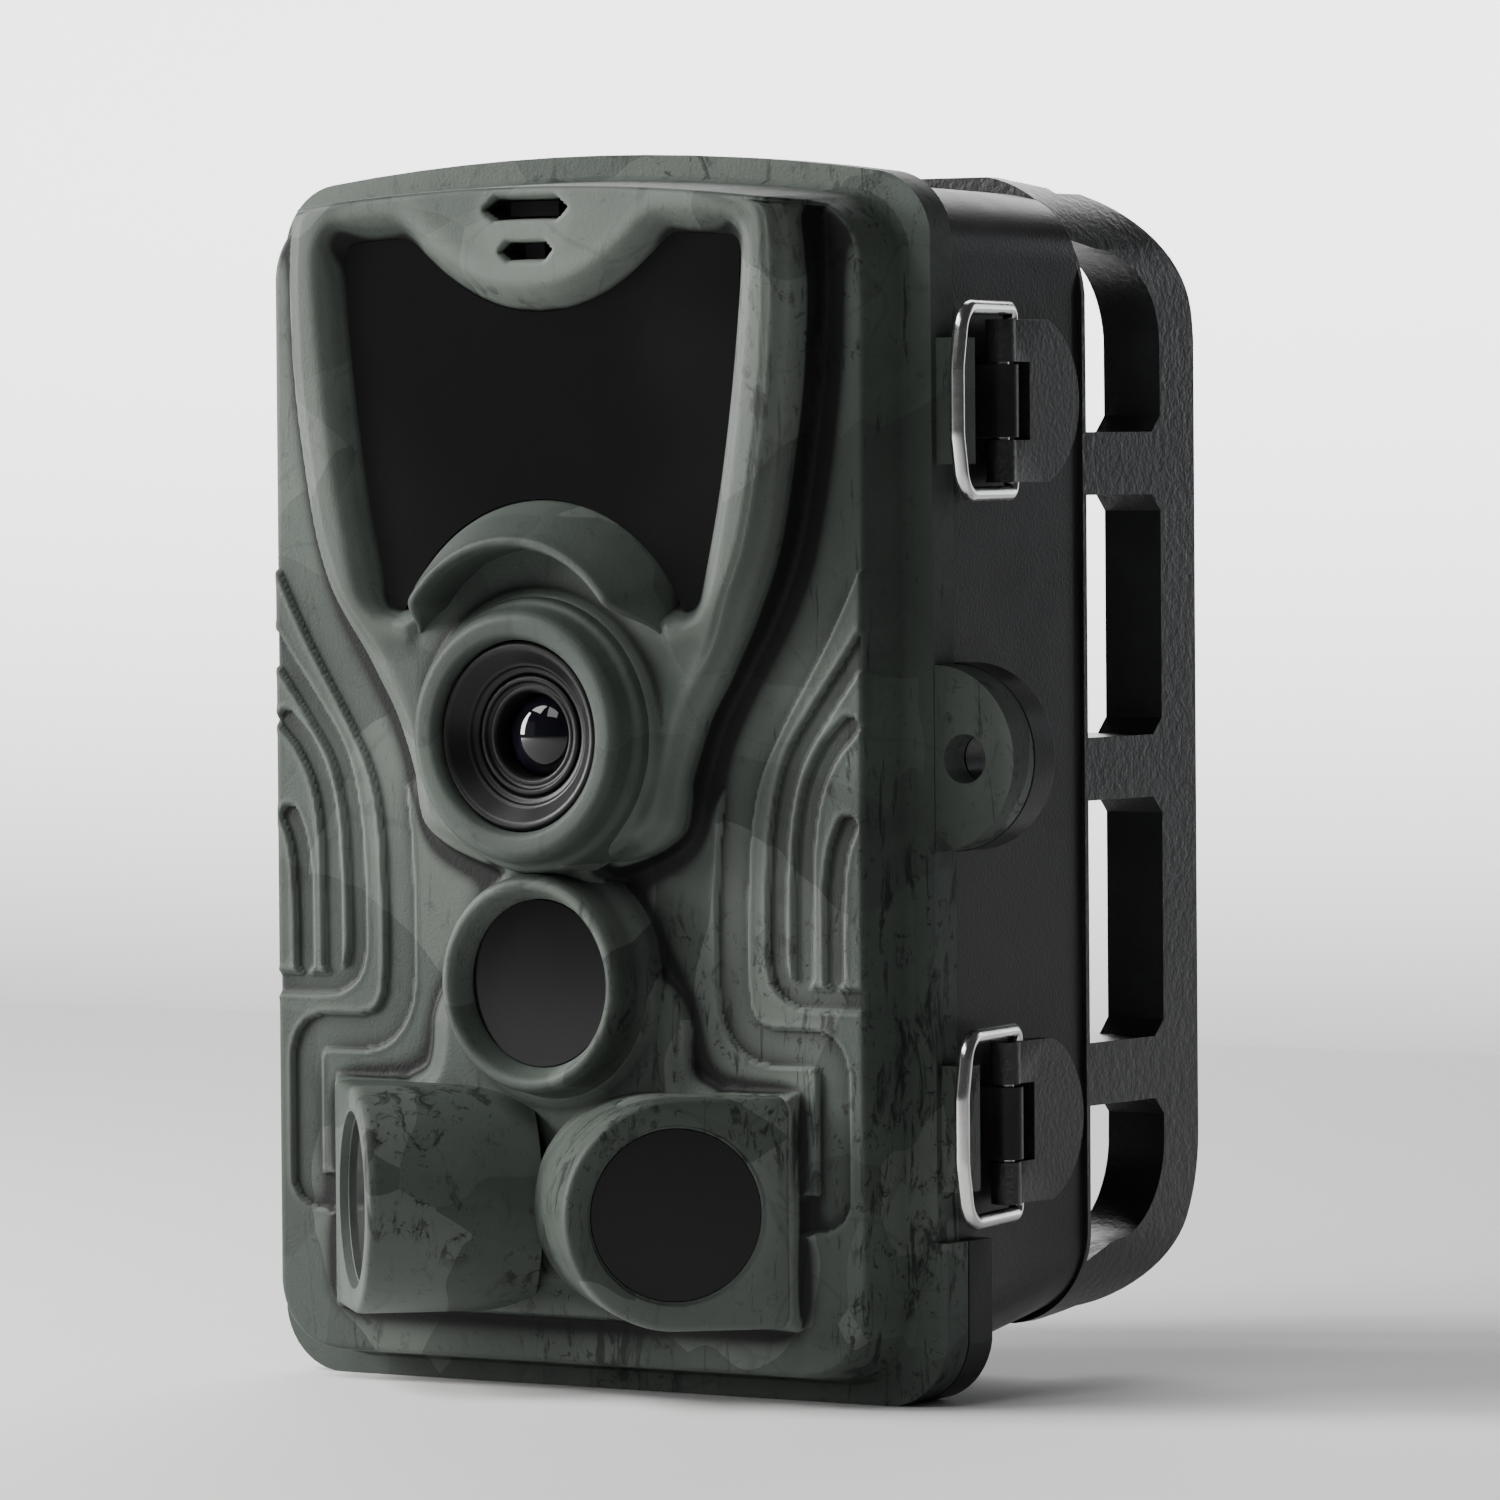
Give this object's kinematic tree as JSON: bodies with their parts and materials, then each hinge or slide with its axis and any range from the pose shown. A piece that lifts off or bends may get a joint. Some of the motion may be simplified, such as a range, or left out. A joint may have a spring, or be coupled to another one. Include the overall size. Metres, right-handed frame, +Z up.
{
  "type": "trail camera",
  "caption": "Trail camera: hinged latched case with hooded lens, infrared window, three motion sensor windows and a rear tree bracket.",
  "frame": {"origin": "centre of the tripod socket's mouth on the underside", "axes": "+Z up along the case's height, the lens looks along -Y, +X is towards the latches (the viewer's right)"},
  "size_m": [0.1095, 0.0901, 0.148],
  "materials": {
    "camo_cover": "fine matte moulding with bark camouflage",
    "black_shell": "satin black moulding",
    "grey_bracket": "fine grained dark grey moulding",
    "steel": "polished steel",
    "brass": "turned brass",
    "latch_plastic": "textured black moulding",
    "tray_plastic": "plain black moulding",
    "cell_jacket": "printed shrink jacket",
    "soft_rubber": "soft matte rubber",
    "jack_plastic": "moulded black",
    "smoked_window": "polished infrared-pass black",
    "circuit_board": "solder mask",
    "led_resin": "clear tinted resin",
    "lens_black": "satin black barrel",
    "lens_glass": "coated glass",
    "sensor_can": "plated can",
    "panel_plastic": "fine textured black moulding",
    "display": "polished display window"
  },
  "bodies": {
    "case": {"rear_shell": "black_shell", "tripod_insert": "brass", "tree_bracket": "grey_bracket", "bracket_screws": "steel", "battery_tray": "tray_plastic", "aa_cells": "cell_jacket", "contact_springs": "steel", "contact_plates": "steel", "hinge_pins": "steel", "latch_pins": "steel", "dc_jack": "jack_plastic"},
    "door": {"front_cover": "camo_cover", "panel_screws": "steel", "usb_socket": "steel", "card_slot": "steel", "mode_switch_housing": "tray_plastic", "door_gasket": "soft_rubber", "speaker": "jack_plastic", "key_switches": "jack_plastic", "ir_window": "smoked_window", "pir_window_center": "smoked_window", "pir_window_left": "smoked_window", "pir_window_right": "smoked_window", "status_windows": "smoked_window", "ir_led_board": "circuit_board", "sensor_board": "circuit_board", "main_board": "circuit_board", "ir_leds": "led_resin", "lens_barrel": "lens_black", "lens_retainer": "lens_black", "lens_glass": "lens_glass", "pir_sensors": "sensor_can", "inner_panel": "panel_plastic", "lcd_module": "display", "lcd_window": "display"},
    "port_cover": {"port_cover": "soft_rubber"},
    "mode_switch_knob": {"mode_switch_knob": "tray_plastic"},
    "up_button": {"up_button": "soft_rubber"},
    "down_button": {"down_button": "soft_rubber"},
    "left_button": {"left_button": "soft_rubber"},
    "right_button": {"right_button": "soft_rubber"},
    "ok_button": {"ok_button": "soft_rubber"},
    "menu_button": {"menu_button": "soft_rubber"},
    "upper_latch_lever": {"upper_latch_lever": "latch_plastic"},
    "lower_latch_lever": {"lower_latch_lever": "latch_plastic"},
    "upper_latch_bail": {"upper_latch_bail": "steel"},
    "lower_latch_bail": {"lower_latch_bail": "steel"}
  },
  "joints": [
    {"name": "door_hinge", "type": "hinge", "parent": "case", "child": "door", "pos_m": [-0.04945, -0.01435, 0.074], "axis": [0, 0, -1], "range_deg": [0, 110]},
    {"name": "port_cover_hinge", "type": "hinge", "parent": "case", "child": "port_cover", "pos_m": [-0.0471, 0, 0.0377], "axis": [0, 1, 0], "range_deg": [0, 90]},
    {"name": "up_button_press", "type": "slide", "parent": "door", "child": "up_button", "axis": [0, -1, 0], "range_m": [0, 0.00025], "stiffness_N_per_m": 500},
    {"name": "down_button_press", "type": "slide", "parent": "door", "child": "down_button", "axis": [0, -1, 0], "range_m": [0, 0.00025], "stiffness_N_per_m": 500},
    {"name": "left_button_press", "type": "slide", "parent": "door", "child": "left_button", "axis": [0, -1, 0], "range_m": [0, 0.00025], "stiffness_N_per_m": 500},
    {"name": "right_button_press", "type": "slide", "parent": "door", "child": "right_button", "axis": [0, -1, 0], "range_m": [0, 0.00025], "stiffness_N_per_m": 500},
    {"name": "ok_button_press", "type": "slide", "parent": "door", "child": "ok_button", "axis": [0, -1, 0], "range_m": [0, 0.00025], "stiffness_N_per_m": 500},
    {"name": "menu_button_press", "type": "slide", "parent": "door", "child": "menu_button", "axis": [0, -1, 0], "range_m": [0, 0.00025], "stiffness_N_per_m": 500},
    {"name": "mode_switch_slide", "type": "slide", "parent": "door", "child": "mode_switch_knob", "axis": [1, 0, 0], "range_m": [-0.004, 0.004]},
    {"name": "upper_latch_hinge", "type": "hinge", "parent": "case", "child": "upper_latch_lever", "pos_m": [0.0487, -0.0064, 0.1182], "axis": [0, 0, -1], "range_deg": [0, 110]},
    {"name": "upper_bail_hinge", "type": "hinge", "parent": "upper_latch_lever", "child": "upper_latch_bail", "pos_m": [0.0487, -0.0042, 0.1182], "axis": [0, 0, 1], "range_deg": [0, 140]},
    {"name": "lower_latch_hinge", "type": "hinge", "parent": "case", "child": "lower_latch_lever", "pos_m": [0.0487, -0.0064, 0.0329], "axis": [0, 0, -1], "range_deg": [0, 110]},
    {"name": "lower_bail_hinge", "type": "hinge", "parent": "lower_latch_lever", "child": "lower_latch_bail", "pos_m": [0.0487, -0.0042, 0.0329], "axis": [0, 0, 1], "range_deg": [0, 140]}
  ],
  "couplings": [
    {"joint": "upper_bail_hinge", "follows": "upper_latch_hinge", "ratio": 1.25},
    {"joint": "lower_bail_hinge", "follows": "lower_latch_hinge", "ratio": 1.25}
  ]
}
